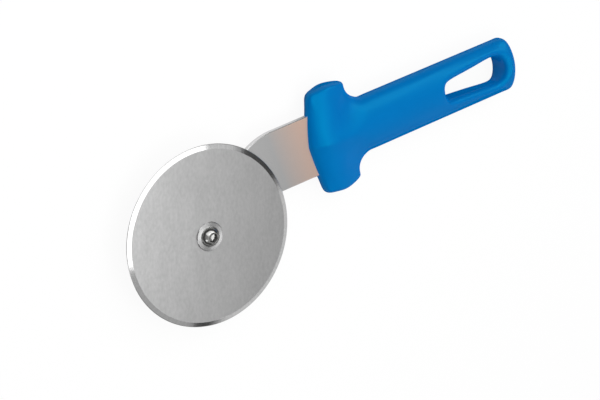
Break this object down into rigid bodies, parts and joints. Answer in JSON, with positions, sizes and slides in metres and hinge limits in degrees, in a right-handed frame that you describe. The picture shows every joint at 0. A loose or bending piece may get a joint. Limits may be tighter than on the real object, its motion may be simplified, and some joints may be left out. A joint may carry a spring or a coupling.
{
  "type": "pizza cutter",
  "caption": "Hand pizza cutter: a bevelled steel wheel that spins on a flat offset arm, with a moulded handle that has a finger guard and a hanging slot.",
  "frame": {"origin": "on the surface that the cutter lies on, under the middle of its box", "axes": "+X from the wheel to the end of the handle, +Z along the wheel's axle towards the screw head, +Y towards the side of the axle that the handle is set off to"},
  "size_m": [0.2652, 0.103, 0.0207],
  "materials": {
    "blade_steel": "stainless sheet with ground faces and a polished bevel",
    "arm_steel": "satin stainless plate",
    "turned_steel": "turned stainless, with fine rings round the axle",
    "fastener_steel": "smooth stainless fastener",
    "bush_plastic": "natural white acetal",
    "handle_plastic": "satin blue moulded polypropylene"
  },
  "bodies": {
    "holder": {"arm": "arm_steel", "handle": "handle_plastic", "axle_sleeve": "fastener_steel", "thrust_washer": "bush_plastic", "front_washer": "turned_steel", "axle_screw": "fastener_steel", "lock_washer": "fastener_steel", "cap_nut": "fastener_steel"},
    "wheel": {"cutting_wheel": "blade_steel", "wheel_bush": "bush_plastic"}
  },
  "joints": [
    {"name": "wheel_spin", "type": "hinge", "parent": "holder", "child": "wheel", "pos_m": [-0.08265, -0.00153, 0.0157], "axis": [0, 0, 1], "continuous": true}
  ]
}
